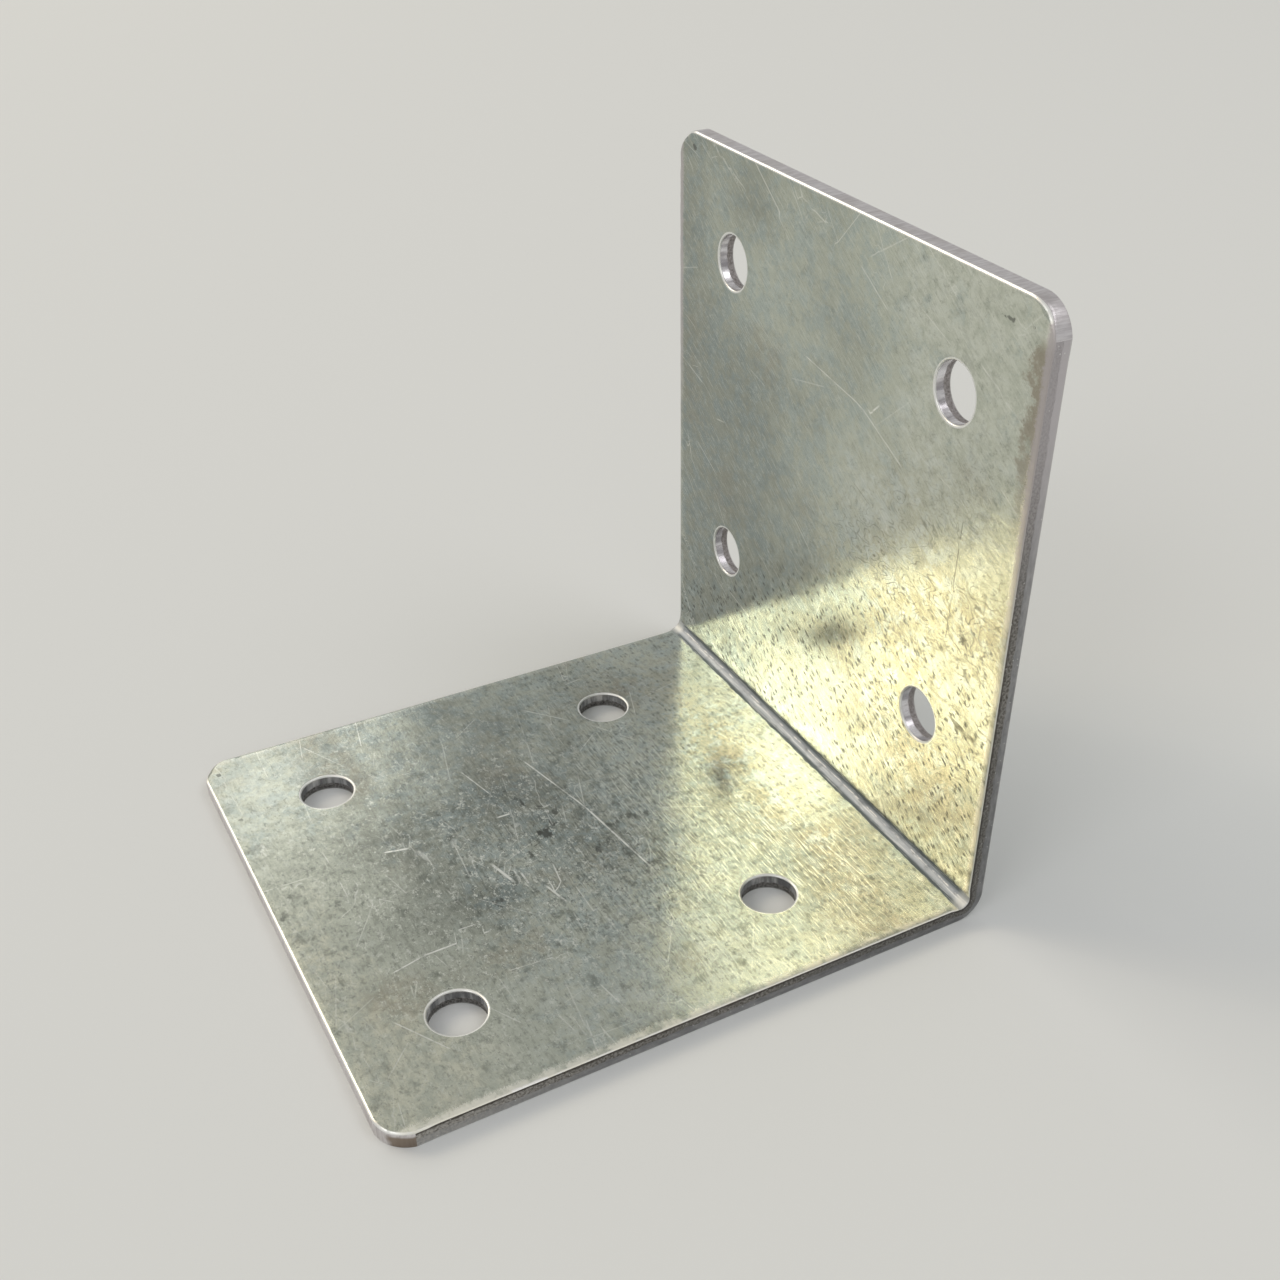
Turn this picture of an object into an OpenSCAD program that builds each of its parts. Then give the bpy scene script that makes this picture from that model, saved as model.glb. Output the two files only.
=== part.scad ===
// Sleeper corner bracket: one strip of zinc coated steel, cropped, punched and pressed to a right angle.
// Millimetres. The bend runs along X. The base leg lies on the floor and reaches from the heel toward -Y.
// The upright leg stands at the +Y side. The origin is on the floor, in the middle of the footprint.

/* [Strip] */
// Width of the slit strip, along the bend
strip_width = 100; // [70:1:150]
// Thickness of the steel
steel_thickness = 3; // [2:0.1:4]
// Outside length of the base leg, heel to free end
base_leg = 105; // [95:1:160]
// Outside length of the upright leg, heel to free end
upright_leg = 105; // [95:1:160]

/* [Bend] */
// Radius inside the bend, left by the nose of the press tool
inside_radius = 1.8; // [0.8:0.1:3]
// How far the squeezed steel swells out of the strip's side at each end of the bend
ear_height = 0.4; // [0.1:0.05:0.6]
// Reach of that swelling from the inside of the bend
ear_reach = 2.8; // [1.6:0.1:4]

/* [Cropped ends] */
// Radius of the cropped corners at both free ends
corner_radius = 6; // [3:0.5:10]
// How far the cropping tool overruns the strip's side, which leaves a small kink there
crop_overrun = 0.15; // [0.05:0.05:0.3]
// Radius that cropping draws onto the inner edge of a free end
end_roll = 0.5; // [0.2:0.1:0.8]

/* [Slit sides] */
// Width of the rolled margin along both sides of the inner face
side_roll_width = 1.4; // [0.6:0.1:2.4]
// Depth of that margin at the strip's side
side_roll_depth = 0.12; // [0.04:0.02:0.4]

/* [Punched holes] */
// Diameter of the holes, measured on the shiny land
hole_diameter = 9.3; // [5:0.1:13]
// From a free end to the centre of the first row of holes
hole_end_distance = 18.5; // [14:0.5:26]
// From a side of the strip to the centre of the nearest hole
hole_side_distance = 18.75; // [14:0.25:26]
// From the first row of holes to the row near the bend
hole_row_spacing = 56; // [30:1:60]
// Radius that the punch draws onto the mouth of a hole, on the inner face
hole_roll = 0.3; // [0.1:0.05:0.5]
// Depth of the shiny land that the punch shears
hole_land = 1.5; // [0.5:0.1:2]
// How much wider in radius a hole breaks out on the outer face
hole_breakout = 0.07; // [0.02:0.01:0.2]

/* [Hidden] */
finish = [0.66, 0.67, 0.64];
cut_spare = 1;
arc_steps = 96;
hole_steps = 64;
half_width = strip_width / 2;
heel_y = base_leg / 2;
outside_radius = inside_radius + steel_thickness;
bend_centre = steel_thickness + inside_radius;
inside_of_bend = bend_centre - inside_radius * cos(45);
corner_x = half_width + crop_overrun - corner_radius;
hole_x = half_width - hole_side_distance;
land_top = steel_thickness - hole_roll;
least_break = 0.2;
land_bottom = max(land_top - hole_land, least_break);

// The strip's section in the Y and Z plane, with the outer corner of the heel at zero.
module strip_section() {
    difference() {
        union() {
            translate([-base_leg, 0])
                square([base_leg, steel_thickness]);
            translate([-steel_thickness, 0])
                square([steel_thickness, upright_leg]);
            translate([-bend_centre, 0])
                square(bend_centre);
        }
        translate([-bend_centre, bend_centre])
            circle(inside_radius, $fn = arc_steps);
        difference() {
            translate([-outside_radius, -cut_spare])
                square([outside_radius + cut_spare, outside_radius + cut_spare]);
            translate([-outside_radius, outside_radius])
                circle(outside_radius, $fn = arc_steps);
        }
    }
}

// The bent strip, wide or narrow, before anything is cut from it.
module bent_strip(width) {
    translate([-width / 2, heel_y, 0])
        rotate([90, 0, 90])
            linear_extrude(width)
                strip_section();
}

// Places a leg's features: X across, Y from the heel to the free end, Z from the outer to the inner face.
module on_base_leg() {
    translate([0, heel_y, 0])
        rotate([0, 0, 180])
            children();
}

module on_upright_leg() {
    translate([0, heel_y, 0])
        rotate([90, 0, 0])
            children();
}

module on_both_sides() {
    children();
    mirror([1, 0, 0])
        children();
}

// What an arc leaves away at an edge: X runs in from the edge, Y is zero on the face that the arc meets.
module roll_profile(width, depth, above = cut_spare) {
    roll_radius = (width * width + depth * depth) / (2 * depth);
    difference() {
        translate([-cut_spare, -depth])
            square([width + cut_spare, depth + above]);
        translate([width, -roll_radius])
            circle(roll_radius, $fn = arc_steps);
    }
}

// Rounds one corner of a free end. The arc runs out over the strip's side.
module corner_crop(leg) {
    translate([corner_x, leg - corner_radius, -cut_spare])
        linear_extrude(steel_thickness + 2 * cut_spare)
            difference() {
                square(corner_radius + cut_spare);
                circle(corner_radius, $fn = arc_steps);
            }
}

// The drawn edge round one corner of a free end, on the inner face.
module corner_roll(leg) {
    translate([corner_x, leg - corner_radius, steel_thickness])
        rotate_extrude(angle = 90, $fn = arc_steps)
            translate([corner_radius, 0])
                mirror([1, 0])
                    roll_profile(end_roll, end_roll);
}

// The drawn edge along the straight stretch of a free end.
module end_edge_roll(leg) {
    translate([-corner_x, leg, steel_thickness])
        rotate([90, 0, 90])
            linear_extrude(2 * corner_x)
                mirror([1, 0])
                    roll_profile(end_roll, end_roll);
}

// The rolled margin along one side of a leg, from the bend to the free end.
module side_margin(leg) {
    translate([half_width, leg + cut_spare, steel_thickness])
        rotate([90, 0, 0])
            linear_extrude(leg + cut_spare - bend_centre)
                mirror([1, 0])
                    roll_profile(side_roll_width, side_roll_depth);
}

// The same margin round the inside of the bend, which joins those of the two legs.
module bend_margin() {
    translate([half_width, heel_y - bend_centre, bend_centre])
        rotate([90, 0, 90])
            rotate([0, 0, -90])
                rotate_extrude(angle = 90, $fn = arc_steps)
                    translate([inside_radius, 0])
                        mirror([1, 0])
                            rotate(-90)
                                roll_profile(side_roll_width, side_roll_depth, inside_radius / 2);
}

// One punched hole: drawn mouth, shiny land, and the wider break through the outer face.
module punched_hole() {
    land_radius = hole_diameter / 2;
    rotate_extrude($fn = hole_steps)
        translate([land_radius, steel_thickness])
            difference() {
                translate([-hole_roll, -hole_roll])
                    square([2 * hole_roll, hole_roll + cut_spare]);
                translate([hole_roll, -hole_roll])
                    circle(hole_roll, $fn = arc_steps);
            }
    translate([0, 0, -cut_spare])
        cylinder(h = steel_thickness + 2 * cut_spare, r = land_radius, $fn = hole_steps);
    cylinder(h = land_bottom, r1 = land_radius + hole_breakout, r2 = land_radius, $fn = hole_steps);
    translate([0, 0, -cut_spare])
        cylinder(h = cut_spare, r = land_radius + hole_breakout, $fn = hole_steps);
}

// Everything that cropping, slitting and punching take from one leg.
module leg_cuts(leg) {
    end_edge_roll(leg);
    on_both_sides() {
        corner_crop(leg);
        corner_roll(leg);
        side_margin(leg);
        for (from_end = [hole_end_distance, hole_end_distance + hole_row_spacing])
            translate([hole_x, leg - from_end, 0])
                punched_hole();
    }
}

// The steel that the bend squeezes out at one end of the inside radius.
module bend_ear() {
    ear_radius = (ear_reach * ear_reach + ear_height * ear_height) / (2 * ear_height);
    intersection() {
        bent_strip(strip_width + 2 * (ear_height + cut_spare));
        translate([half_width + ear_height - ear_radius, heel_y - inside_of_bend, inside_of_bend])
            sphere(ear_radius, $fn = arc_steps);
    }
}

module bracket() {
    color(finish) {
        difference() {
            bent_strip(strip_width);
            on_base_leg()
                leg_cuts(base_leg);
            on_upright_leg()
                leg_cuts(upright_leg);
            on_both_sides()
                bend_margin();
        }
        on_both_sides()
            bend_ear();
    }
}

bracket();
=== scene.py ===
"""Sleeper corner bracket: one strip of zinc coated steel, cropped, punched and pressed to a right angle.

The strip is worked out flat, in millimetres, and then folded. A place on it has three numbers: u across the
strip from its middle, s along it from the free end of the base leg, and w through the steel from the outer
face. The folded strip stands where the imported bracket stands.
"""
import math

import bpy
import numpy as np
from mathutils import Matrix, Vector


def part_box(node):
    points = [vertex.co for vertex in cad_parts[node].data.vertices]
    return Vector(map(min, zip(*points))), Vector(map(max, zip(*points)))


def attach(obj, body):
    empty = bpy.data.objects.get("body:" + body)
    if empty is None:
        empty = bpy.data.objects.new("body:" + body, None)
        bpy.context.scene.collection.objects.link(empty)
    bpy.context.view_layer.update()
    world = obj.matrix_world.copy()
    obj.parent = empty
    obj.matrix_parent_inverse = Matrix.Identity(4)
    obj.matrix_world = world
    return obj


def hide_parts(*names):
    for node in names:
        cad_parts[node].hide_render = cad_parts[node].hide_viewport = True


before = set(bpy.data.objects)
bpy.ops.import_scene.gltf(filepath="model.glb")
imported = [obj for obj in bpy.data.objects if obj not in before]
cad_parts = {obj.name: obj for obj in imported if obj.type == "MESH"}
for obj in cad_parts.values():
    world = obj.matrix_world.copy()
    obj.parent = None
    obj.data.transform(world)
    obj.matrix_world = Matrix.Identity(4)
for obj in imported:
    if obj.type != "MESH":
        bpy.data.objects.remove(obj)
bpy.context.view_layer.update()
node_low, node_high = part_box("bracket")

MM = 0.001

# The strip, in millimetres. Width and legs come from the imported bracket.
EAR_HEIGHT = 0.4
EAR_REACH = 2.8
STEEL = 3.0
INSIDE_RADIUS = 1.8
CORNER_RADIUS = 6.0
CROP_OVERRUN = 0.15
END_ROLL = 0.5
CORNER_ROLL = 1.15
SIDE_ROLL_WIDTH = 1.4
SIDE_ROLL_DEPTH = 0.12
OUTER_EDGE_ROLL = 0.25
END_OUTER_ROLL = 0.1
SHOULDER_HEIGHT = 0.05
SHOULDER_REACH = 1.8
BOW_DEPTH = 0.06
HOLE_RADIUS = 4.65
HOLE_END_DISTANCE = 18.5
HOLE_SIDE_DISTANCE = 18.75
HOLE_ROW_SPACING = 56.0
HOLE_ROLL = 0.3
HOLE_LAND = 1.7
HOLE_BREAKOUT = 0.07

HALF_WIDTH = node_high.x / MM - EAR_HEIGHT
BASE_LEG = (node_high.y - node_low.y) / MM
UPRIGHT_LEG = (node_high.z - node_low.z) / MM
HEEL_Y = node_high.y / MM
BEND_CENTRE = STEEL + INSIDE_RADIUS
BASE_FLAT = BASE_LEG - BEND_CENTRE
BEND_LENGTH = (INSIDE_RADIUS + STEEL / 2) * math.pi / 2
BEND_MIDDLE = BASE_FLAT + BEND_LENGTH / 2
STRIP_LENGTH = BASE_FLAT + BEND_LENGTH + UPRIGHT_LEG - BEND_CENTRE
CORNER_U = HALF_WIDTH + CROP_OVERRUN - CORNER_RADIUS
HOLE_U = HALF_WIDTH - HOLE_SIDE_DISTANCE

# The mesh: an edge band runs round the strip, square blocks hold the holes, and a grid fills the rest.
FRAME_INSET = 4.0
BAND_INSET = 3.2
BLOCK_HALF = 8.0
BLOCK_STEPS = 20
CORNER_STEPS = 8
NEAR = 1e-6

# Rows of the edge band: the lip's, and how many come after the wall.
LIP_ROW = 7
ROWS_PAST_WALL = 8

# Material numbers on the mesh.
ZINC_FACE = 0
SLIT_WALL = 1
CROPPED_WALL = 2
PUNCHED_WALL = 3

# Rolling grain runs along the bend on the base leg and slants on the upright leg, in degrees.
GRAIN_SLANT = -33

# How far outside the strip seeded patterns are read, and how far off the upright leg's grain is.
PATTERN_SHIFT = 200
LEG_SHIFT = 300

# Scratches on the inner face: from u, s to u, s, half width in millimetres, and strength.
SCRATCHES = [
    (-23, 53.4, -4.8, 57.6, 0.11, 0.5),
    (-4.8, 57.6, 16, 60.4, 0.13, 0.6),
    (17.2, 18, 17, 30.2, 0.13, 0.6),
    (18.6, 12.5, 17.3, 18.2, 0.11, 0.5),
    (-25.3, 41.9, -15.5, 44.3, 0.10, 0.45),
    (1.5, 36.6, 8.4, 38.4, 0.20, 0.6),
    (5.9, 40.2, 9.8, 40.3, 0.15, 0.5),
    (11.2, 42.5, 17, 44.0, 0.15, 0.5),
    (14.3, 25.2, 14.4, 28.8, 0.10, 0.5),
    (-9.4, 42.2, -9.3, 45.4, 0.15, 0.6),
    (-10, 21.3, -8.9, 26.0, 0.17, 0.8),
    (6.4, 46.0, 12.3, 45.1, 0.10, 0.4),
    (-7.4, 179, 9, 176.5, 0.08, 0.35),
    (14, 178.6, 12, 176.7, 0.12, 0.5),
    (9, 176.5, 21, 171, 0.10, 0.3),
    (28, 9, 38, 15, 0.09, 0.35),
    (-38, 60, -30, 67, 0.08, 0.3),
]
SCRATCH_REACH = 2.4

# Dark scored lines on the upright leg, in the same form.
SCORED_LINES = [
    (36.6, 169.3, 35.9, 148.2, 0.10, 0.55),
    (38.9, 152.1, 41.5, 148.9, 0.17, 0.85),
    (39.2, 149.3, 41.0, 151.6, 0.12, 0.7),
    (37.6, 149.9, 38.6, 149.7, 0.22, 0.6),
    (25.1, 140.2, 33.0, 138.0, 0.10, 0.45),
    (33.0, 138.0, 44.0, 137.5, 0.10, 0.45),
    (25.1, 142.5, 31.0, 144.8, 0.08, 0.4),
    (31.0, 144.8, 40.0, 146.8, 0.09, 0.4),
    (20.0, 149.0, 29.0, 143.5, 0.08, 0.4),
    (24.0, 152.0, 34.0, 146.5, 0.08, 0.4),
    (41.0, 133.5, 46.0, 127.0, 0.13, 0.6),
    (44.0, 160.0, 43.4, 152.0, 0.14, 0.45),
]

# Where a nick lies on the +X side of the base leg, as s.
NICK_PLACE = 22.4

# Dark marks on the inner face: centre u and s, reach across and along, and strength.
DARK_MARKS = [
    (-12, 48, 1.6, 0.8, 0.9),
    (-0.8, 48.2, 1.8, 1.0, 1.0),
    (7.5, 54.6, 1.7, 0.9, 0.9),
    (11, 34, 1.4, 1.1, 0.8),
    (2.5, 43.5, 0.9, 0.6, 0.8),
    (-6, 52.5, 1.3, 0.6, 0.7),
    (15, 50, 1.2, 0.7, 0.7),
    (-45.6, 2.6, 0.8, 0.6, 0.8),
    (-30.7, 2.4, 0.6, 0.5, 0.6),
    (-1.9, 1.2, 0.8, 0.5, 0.7),
    (-44.5, 203, 0.7, 0.7, 0.8),
    (40.8, 201.2, 1.3, 0.5, 0.8),
    (40.1, 150.5, 0.7, 0.7, 0.8),
    (33.5, 139, 0.9, 0.4, 0.7),
    (22, 88, 1.0, 0.5, 0.6),
    (36, 92, 0.9, 0.4, 0.6),
]

# Lighter and darker patches of the zinc, the last of them painted shade: strength, centre u and s, and reach
# across and along.
TONE_PATCHES = [
    (-0.5, -12, 48, 9, 7),
    (-0.4, 11, 34, 8, 6),
    (-0.4, 6, 54, 8, 5),
    (0.25, 18, 62, 12, 8),
    (0.9, 6, 117, 11, 10),
    (0.6, 2, 94, 11, 4),
    (0.6, 40, 158, 18, 24),
    (0.3, -5, 72, 15, 9),
    # Painted shade: darkens the base leg where the lamps' reflection near the bend is brightest.
    (-0.45, 16, 84, 26, 9),
]

# Camera and light
PHOTO_PIXELS = 1280
FOCAL_PIXELS = 1494.3
CENTRE_PIXEL = (712.4, 754.4)
CAMERA_PLACE = (188.41, -81.35, 171.99)
CAMERA_AIM = (29.8, 11.43, 35.0)
CAMERA_ROLL = 0.01627
SENSOR_WIDTH = 36
CLIP_RANGE = (0.01, 50)
FLOOR_HALF = 6.0
FLOOR_COLOUR = (0.73, 0.745, 0.745, 1)
ROOM_COLOUR = (1.0, 1.0, 0.98, 1)
ROOM_STRENGTH = 0.52

# Lamps: name, azimuth, elevation, distance, width, height, radiance and colour.
LAMPS = [
    ("key_softbox", 207, 38, 4.5, 3.0, 1.95, 2.5, (1.0, 0.925, 0.76)),
    ("key_core", 215.5, 34, 4.3, 0.40, 0.52, 12.5, (1.0, 0.90, 0.74)),
    ("edge_strip", 209.8, 39.3, 4.2, 0.11, 0.36, 10.0, (1.0, 0.80, 0.42)),
    ("warm_softbox", 226, 35, 4.4, 1.2, 1.5, 1.6, (1.0, 0.62, 0.2)),
    ("left_softbox", 174, 31, 4.5, 1.1, 0.9, 1.55, (1.0, 0.97, 0.90)),
    ("back_softbox", 45, 58, 4.2, 2.2, 2.0, 1.5, (1.0, 0.98, 1.0)),
    ("edge_softbox", 292, 34, 4.2, 1.9, 1.6, 2.4, (1.0, 0.98, 0.96)),
]


def add_object(name, data):
    """Links new data into the scene as an object at the origin."""
    made = bpy.data.objects.new(name, data)
    bpy.context.scene.collection.objects.link(made)
    return made


def add_camera():
    """Stands the camera where the photograph was taken, with its lens and its off-centre framing."""
    data = bpy.data.cameras.new("camera")
    camera = add_object("camera", data)
    bpy.context.scene.camera = camera
    place = Vector(CAMERA_PLACE) * MM
    forward = (Vector(CAMERA_AIM) * MM - place).normalized()
    level = forward.cross(Vector((0, 0, 1))).normalized()
    upright = level.cross(forward)
    right = level * math.cos(CAMERA_ROLL) + upright * math.sin(CAMERA_ROLL)
    top = upright * math.cos(CAMERA_ROLL) - level * math.sin(CAMERA_ROLL)
    turn = Matrix((right, top, -forward)).transposed().to_4x4()
    camera.matrix_world = Matrix.Translation(place) @ turn
    data.sensor_width = SENSOR_WIDTH
    data.lens = FOCAL_PIXELS / PHOTO_PIXELS * data.sensor_width
    data.shift_x = 0.5 - CENTRE_PIXEL[0] / PHOTO_PIXELS
    data.shift_y = CENTRE_PIXEL[1] / PHOTO_PIXELS - 0.5
    data.clip_start, data.clip_end = CLIP_RANGE


def add_softbox(name, azimuth, elevation, distance, width, height, radiance, light_colour):
    """A soft lamp, seen from the bracket at that azimuth from +X and elevation, facing it."""
    data = bpy.data.lights.new(name, "AREA")
    lamp = add_object(name, data)
    data.shape = "RECTANGLE"
    data.size = width
    data.size_y = height
    data.energy = radiance * math.pi * width * height
    data.color = light_colour
    across = math.radians(azimuth)
    rise = math.radians(elevation)
    towards = Vector((math.cos(rise) * math.cos(across), math.cos(rise) * math.sin(across), math.sin(rise)))
    centre = (node_low + node_high) / 2
    lamp.location = centre + towards * distance
    lamp.rotation_mode = "QUATERNION"
    lamp.rotation_quaternion = towards.to_track_quat("Z", "Y")


def add_floor():
    """A pale level floor, as a plain square under the bracket."""
    half = FLOOR_HALF
    corners = [(-half, -half, 0), (half, -half, 0), (half, half, 0), (-half, half, 0)]
    data = bpy.data.meshes.new("floor")
    data.from_pydata(corners, [], [(0, 1, 2, 3)])
    floor = add_object("floor", data)
    finish = Finish("pale_floor")
    for name, value in (("Base Color", FLOOR_COLOUR), ("Roughness", 0.9), ("Specular IOR Level", 0.1)):
        finish.shader.inputs[name].default_value = value
    data.materials.append(finish.material)


def add_world():
    """Even soft light from all round."""
    world = bpy.data.worlds.new("soft_room")
    bpy.context.scene.world = world
    world.use_nodes = True
    background = world.node_tree.nodes["Background"]
    background.inputs["Color"].default_value = ROOM_COLOUR
    background.inputs["Strength"].default_value = ROOM_STRENGTH


# Shape of the strip

def ease(share):
    """Smooth step from 0 to 1: 3 x squared less 2 x cubed, held flat outside."""
    x = np.clip(share, 0, 1)
    return x * x * (3 - 2 * x)


def lattice(column, row, seed):
    """A repeatable random share for each whole-number place: its numbers are mixed bit by bit."""
    mixed = (column * 73856093) ^ (row * 19349663) ^ (seed * 83492791)
    mixed = ((mixed ^ (mixed >> 13)) & 0x7FFFFFFF) * 1274126177
    return ((mixed ^ (mixed >> 16)) & 0xFFFF) / 65535


def relief(along, across, cell_along, cell_across, seed):
    """Random heights from 0 to 1 at a lattice's corners, eased into each other inside each cell."""
    x = along / cell_along
    y = across / cell_across
    column = np.floor(x).astype(np.int64)
    row = np.floor(y).astype(np.int64)
    step_x = ease(x - column)
    step_y = ease(y - row)
    near = lattice(column, row, seed) * (1 - step_x) + lattice(column + 1, row, seed) * step_x
    far = lattice(column, row + 1, seed) * (1 - step_x) + lattice(column + 1, row + 1, seed) * step_x
    return near * (1 - step_y) + far * step_y


def double_relief(along, across, coarse, fine, seed):
    """Relief with coarse cells, 0.6 of it, and relief with fine cells, 0.4 of it."""
    return 0.6 * relief(along, across, *coarse, seed) + 0.4 * relief(along, across, *fine, seed + 1)


def patches(u, s, cell_u, cell_s, seed):
    """The same heights over the strip's faces, with u counted from well outside the strip."""
    return relief(u + PATTERN_SHIFT, s, cell_u, cell_s, seed)


def fold(u, s, w):
    """Folds flat places onto the bent strip, in millimetres.

    The base leg keeps its place. In the bend a place turns about the bend's centre at a radius of
    BEND_CENTRE less w, by a quarter turn times its share of the bend's length. Past the bend it rises.
    """
    turn = np.clip((s - BASE_FLAT) / BEND_LENGTH, 0, 1) * math.pi / 2
    reach = BEND_CENTRE - w
    y = HEEL_Y - BASE_LEG + np.minimum(s, BASE_FLAT) + reach * np.sin(turn)
    z = BEND_CENTRE - reach * np.cos(turn) + np.maximum(s - BASE_FLAT - BEND_LENGTH, 0)
    return np.stack([u, y, z], -1)


def ear_swell(folded):
    """How far the squeezed steel stands out of the side: a ball's cap, centred on the inside of the bend."""
    radius = (EAR_REACH**2 + EAR_HEIGHT**2) / (2 * EAR_HEIGHT)
    inside = BEND_CENTRE - INSIDE_RADIUS * math.cos(math.pi / 4)
    across = (folded[..., 1] - HEEL_Y + inside) ** 2 + (folded[..., 2] - inside) ** 2
    return np.maximum(np.sqrt(np.maximum(radius**2 - across, 0)) - radius + EAR_HEIGHT, 0)


def outline_place(frame_u, frame_s, inset):
    """Place on the strip's outline, moved in by inset, for a place on the rectangle inside it.

    Along an end it is straight in from the end, along a side straight in from the side. Round a corner it
    lies on the crop's arc, whose angle runs from the end's tangent to where the arc leaves the side.
    """
    beyond = frame_s > STRIP_LENGTH / 2
    end_s = np.where(beyond, STRIP_LENGTH - frame_s, frame_s)
    side_u = np.abs(frame_u)
    frame_corner = HALF_WIDTH - FRAME_INSET
    along_end = np.clip((side_u - CORNER_U) / (frame_corner - CORNER_U), 0, 1)
    along_side = np.clip((end_s - FRAME_INSET) / (CORNER_RADIUS - FRAME_INSET), 0, 1)
    share = (along_end + along_side) / 2
    arc = CORNER_RADIUS - inset
    leave = np.arccos((HALF_WIDTH - CORNER_U - inset) / arc)
    angle = math.pi / 2 + (leave - math.pi / 2) * share
    u = np.where(share <= 0, side_u, CORNER_U + arc * np.cos(angle))
    s = np.where(share <= 0, inset, CORNER_RADIUS - arc * np.sin(angle))
    straight = end_s > CORNER_RADIUS
    u = np.where(straight, HALF_WIDTH - inset, u)
    s = np.where(straight, end_s, s)
    return u * np.sign(frame_u), np.where(beyond, STRIP_LENGTH - s, s)


def outer_edge(radius):
    """Section of an outer edge and the outer face past it: a quarter circle of that radius, then flat."""
    turn = np.radians(np.linspace(0, 90, 5))
    edge = radius * np.stack([1 - np.cos(turn), 1 - np.sin(turn)], -1)
    return np.vstack([edge, [(0.9, 0), (2.0, 0), (BAND_INSET, 0)]])


def side_profile():
    """Section of a slit side, as inset and w: face, rolled margin, lip, wall and rolled outer edge."""
    face = [(BAND_INSET, STEEL), (2.3, STEEL)]
    inset = np.linspace(SIDE_ROLL_WIDTH, 0.08, 6)
    margin = np.stack([inset, STEEL - SIDE_ROLL_DEPTH * (1 - inset / SIDE_ROLL_WIDTH) ** 2], -1)
    lip = [(0.02, STEEL - SIDE_ROLL_DEPTH - 0.03), (0, STEEL - SIDE_ROLL_DEPTH - 0.09)]
    wall = [(0, w) for w in (2.6, 2.38, 2.15, 1.93, 1.7, 1.5, 1.3, 1.05, 0.75, 0.45)]
    return np.vstack([face, margin, lip, wall, outer_edge(OUTER_EDGE_ROLL)])


def end_profile(roll):
    """Section of a cropped end, with as many nodes: face, drawn edge of that radius, wall, outer edge."""
    face = [(BAND_INSET, STEEL), (1.6 + roll, STEEL)]
    angle = np.radians(np.linspace(0, 90, 8))
    drawn = np.stack([roll * (1 - np.sin(angle)), STEEL - roll * (1 - np.cos(angle))], -1)
    wall = np.stack([np.zeros(10), np.linspace(STEEL - roll - 0.12, 0.25, 10)], -1)
    return np.vstack([face, drawn, wall, outer_edge(END_OUTER_ROLL)])


def grid_lines(start, *stretches):
    """Places of grid lines: from start through stretches given as (end, steps)."""
    places = [np.array([start])]
    for end, steps in stretches:
        places.append(np.linspace(places[-1][-1], end, steps + 1)[1:])
    return np.concatenate(places)


def lines_across():
    """Grid lines across the strip, mirrored about its middle."""
    outer = HALF_WIDTH - FRAME_INSET
    return grid_lines(
        -outer,
        (-CORNER_U, CORNER_STEPS),
        (-HOLE_U - BLOCK_HALF, 4),
        (-HOLE_U + BLOCK_HALF, BLOCK_STEPS),
        (HOLE_U - BLOCK_HALF, 24),
        (HOLE_U + BLOCK_HALF, BLOCK_STEPS),
        (CORNER_U, 4),
        (outer, CORNER_STEPS),
    )


def lines_along():
    """Grid lines along the strip, close together in the blocks of the holes and round the bend."""
    row = HOLE_END_DISTANCE
    inner_row = HOLE_END_DISTANCE + HOLE_ROW_SPACING
    end = STRIP_LENGTH
    return grid_lines(
        FRAME_INSET,
        (CORNER_RADIUS, CORNER_STEPS),
        (row - BLOCK_HALF, 4),
        (row + BLOCK_HALF, BLOCK_STEPS),
        (inner_row - BLOCK_HALF, 36),
        (inner_row + BLOCK_HALF, BLOCK_STEPS),
        (BASE_FLAT, 16),
        (BASE_FLAT + BEND_LENGTH, 24),
        (end - inner_row - BLOCK_HALF, 16),
        (end - inner_row + BLOCK_HALF, BLOCK_STEPS),
        (end - row - BLOCK_HALF, 36),
        (end - row + BLOCK_HALF, BLOCK_STEPS),
        (end - CORNER_RADIUS, 4),
        (end - FRAME_INSET, CORNER_STEPS),
    )


def loop_round(across, along):
    """The rectangle's rim, anticlockwise seen from the inner face, without its last place twice."""
    sides = np.ones(len(along) - 2)
    ends = np.ones(len(across))
    u = np.concatenate([across, sides * across[-1], across[::-1], sides * across[0]])
    s = np.concatenate([ends * along[0], along[1:-1], ends * along[-1], along[-2:0:-1]])
    return u, s


def strip_quads(columns, rows, closed=True):
    """Quads between neighbouring columns of nodes, as node numbers, for a band of columns by rows."""
    column = np.arange(columns if closed else columns - 1)
    following = (column + 1) % columns
    row = np.arange(rows - 1)
    a = column[:, None] * rows + row
    b = following[:, None] * rows + row
    return np.stack([a, a + 1, b + 1, b], -1).reshape(-1, 4)


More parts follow.
